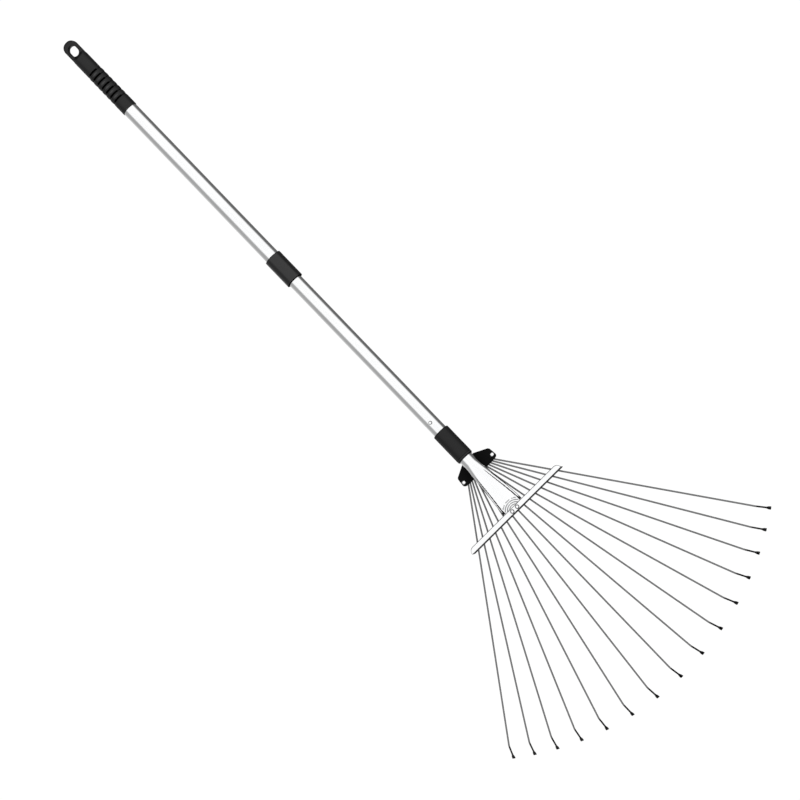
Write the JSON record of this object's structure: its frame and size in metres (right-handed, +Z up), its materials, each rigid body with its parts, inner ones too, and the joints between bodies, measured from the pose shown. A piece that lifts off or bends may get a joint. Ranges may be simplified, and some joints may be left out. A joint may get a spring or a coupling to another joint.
{
  "type": "leaf rake",
  "caption": "Telescopic leaf rake with a black hang-up grip, two twist-lock collars and an adjustable fan of hooked spring-wire tines passing through a slotted crossbar.",
  "frame": {"origin": "centre of the rake's bounding box in plan, on the floor under the hook tips", "axes": "+X runs along the handle from the grip to the tines, +Z is up with the hooks pointing down, +Y is to the left when looking from the grip to the tines"},
  "size_m": [1.5008, 0.607, 0.0569],
  "materials": {
    "polished_tube": "polished thin-wall steel tube",
    "crossbar_steel": "polished galvanised sheet steel",
    "tine_wire": "zinc-plated spring wire",
    "rivet_steel": "bright plated",
    "grip_plastic": "satin moulded",
    "collar_plastic": "satin moulded",
    "plate_black": "gloss black",
    "inner_steel": "plain",
    "inner_plastic": "natural nylon",
    "button_steel": "polished"
  },
  "bodies": {
    "pole": {"lower_tube": "polished_tube", "inner_tube_guide": "inner_plastic", "crossbar": "crossbar_steel", "crossbar_rivets": "rivet_steel", "button_spring": "inner_steel"},
    "handle": {"hand_grip": "grip_plastic", "upper_tube": "polished_tube", "handle_lock_body": "inner_plastic", "handle_lock_collet": "inner_plastic"},
    "handle_collar": {"handle_lock_collar": "collar_plastic"},
    "head_slider": {"slider_clamp_sleeve": "inner_steel", "root_plate_upper": "plate_black", "root_plate_lower": "plate_black", "root_plate_rivets": "rivet_steel", "tine_08": "tine_wire"},
    "head_collar": {"head_collar": "collar_plastic"},
    "button": {"snap_button": "button_steel"},
    "tine_01": {"tine_01": "tine_wire"},
    "tine_02": {"tine_02": "tine_wire"},
    "tine_03": {"tine_03": "tine_wire"},
    "tine_04": {"tine_04": "tine_wire"},
    "tine_05": {"tine_05": "tine_wire"},
    "tine_06": {"tine_06": "tine_wire"},
    "tine_07": {"tine_07": "tine_wire"},
    "tine_09": {"tine_09": "tine_wire"},
    "tine_10": {"tine_10": "tine_wire"},
    "tine_11": {"tine_11": "tine_wire"},
    "tine_12": {"tine_12": "tine_wire"},
    "tine_13": {"tine_13": "tine_wire"},
    "tine_14": {"tine_14": "tine_wire"},
    "tine_15": {"tine_15": "tine_wire"}
  },
  "joints": [
    {"name": "handle_slide", "type": "slide", "parent": "pole", "child": "handle", "axis": [1, 0, 0], "range_m": [0, 0.258]},
    {"name": "handle_collar_twist", "type": "hinge", "parent": "handle", "child": "handle_collar", "pos_m": [-0.20237, 0, 0.041], "axis": [1, 0, 0], "range_deg": [0, 90]},
    {"name": "head_slide", "type": "slide", "parent": "pole", "child": "head_slider", "axis": [-1, 0, 0], "range_m": [0, 0.08]},
    {"name": "head_collar_twist", "type": "hinge", "parent": "head_slider", "child": "head_collar", "pos_m": [0.21463, 0, 0.041], "axis": [1, 0, 0], "range_deg": [0, 90]},
    {"name": "button_press", "type": "slide", "parent": "pole", "child": "button", "axis": [0, 0, -1], "range_m": [0, 0.0022], "stiffness_N_per_m": 1200, "springref_m": -0.001, "deforming": ["button_spring"]},
    {"name": "tine_01_swing", "type": "hinge", "parent": "head_slider", "child": "tine_01", "pos_m": [0.27113, 0.02724, 0.0254], "axis": [0, 0, 1], "range_deg": [-15.54, 0.05]},
    {"name": "tine_02_swing", "type": "hinge", "parent": "head_slider", "child": "tine_02", "pos_m": [0.27113, 0.02335, 0.0254], "axis": [0, 0, 1], "range_deg": [-14.26, 0.05]},
    {"name": "tine_03_swing", "type": "hinge", "parent": "head_slider", "child": "tine_03", "pos_m": [0.27113, 0.01946, 0.0254], "axis": [0, 0, 1], "range_deg": [-12.65, 0.05]},
    {"name": "tine_04_swing", "type": "hinge", "parent": "head_slider", "child": "tine_04", "pos_m": [0.27113, 0.01557, 0.0254], "axis": [0, 0, 1], "range_deg": [-10.64, 0.05]},
    {"name": "tine_05_swing", "type": "hinge", "parent": "head_slider", "child": "tine_05", "pos_m": [0.27113, 0.01168, 0.0254], "axis": [0, 0, 1], "range_deg": [-8.32, 0.05]},
    {"name": "tine_06_swing", "type": "hinge", "parent": "head_slider", "child": "tine_06", "pos_m": [0.27113, 0.00778, 0.0254], "axis": [0, 0, 1], "range_deg": [-5.76, 0.05]},
    {"name": "tine_07_swing", "type": "hinge", "parent": "head_slider", "child": "tine_07", "pos_m": [0.27113, 0.00389, 0.0254], "axis": [0, 0, 1], "range_deg": [-2.96, 0.05]},
    {"name": "tine_09_swing", "type": "hinge", "parent": "head_slider", "child": "tine_09", "pos_m": [0.27113, -0.00389, 0.0254], "axis": [0, 0, 1], "range_deg": [-0.05, 2.96]},
    {"name": "tine_10_swing", "type": "hinge", "parent": "head_slider", "child": "tine_10", "pos_m": [0.27113, -0.00778, 0.0254], "axis": [0, 0, 1], "range_deg": [-0.05, 5.76]},
    {"name": "tine_11_swing", "type": "hinge", "parent": "head_slider", "child": "tine_11", "pos_m": [0.27113, -0.01168, 0.0254], "axis": [0, 0, 1], "range_deg": [-0.05, 8.32]},
    {"name": "tine_12_swing", "type": "hinge", "parent": "head_slider", "child": "tine_12", "pos_m": [0.27113, -0.01557, 0.0254], "axis": [0, 0, 1], "range_deg": [-0.05, 10.64]},
    {"name": "tine_13_swing", "type": "hinge", "parent": "head_slider", "child": "tine_13", "pos_m": [0.27113, -0.01946, 0.0254], "axis": [0, 0, 1], "range_deg": [-0.05, 12.65]},
    {"name": "tine_14_swing", "type": "hinge", "parent": "head_slider", "child": "tine_14", "pos_m": [0.27113, -0.02335, 0.0254], "axis": [0, 0, 1], "range_deg": [-0.05, 14.26]},
    {"name": "tine_15_swing", "type": "hinge", "parent": "head_slider", "child": "tine_15", "pos_m": [0.27113, -0.02724, 0.0254], "axis": [0, 0, 1], "range_deg": [-0.05, 15.54]}
  ],
  "couplings": [
    {"joint": "tine_01_swing", "follows": "head_slide", "rad_per_m": -3.3802},
    {"joint": "tine_02_swing", "follows": "head_slide", "rad_per_m": -3.1002},
    {"joint": "tine_03_swing", "follows": "head_slide", "rad_per_m": -2.7481},
    {"joint": "tine_04_swing", "follows": "head_slide", "rad_per_m": -2.3107},
    {"joint": "tine_05_swing", "follows": "head_slide", "rad_per_m": -1.8053},
    {"joint": "tine_06_swing", "follows": "head_slide", "rad_per_m": -1.2465},
    {"joint": "tine_07_swing", "follows": "head_slide", "rad_per_m": -0.63513},
    {"joint": "tine_09_swing", "follows": "head_slide", "rad_per_m": 0.63513},
    {"joint": "tine_10_swing", "follows": "head_slide", "rad_per_m": 1.2465},
    {"joint": "tine_11_swing", "follows": "head_slide", "rad_per_m": 1.8053},
    {"joint": "tine_12_swing", "follows": "head_slide", "rad_per_m": 2.3107},
    {"joint": "tine_13_swing", "follows": "head_slide", "rad_per_m": 2.7481},
    {"joint": "tine_14_swing", "follows": "head_slide", "rad_per_m": 3.1002},
    {"joint": "tine_15_swing", "follows": "head_slide", "rad_per_m": 3.3802}
  ]
}
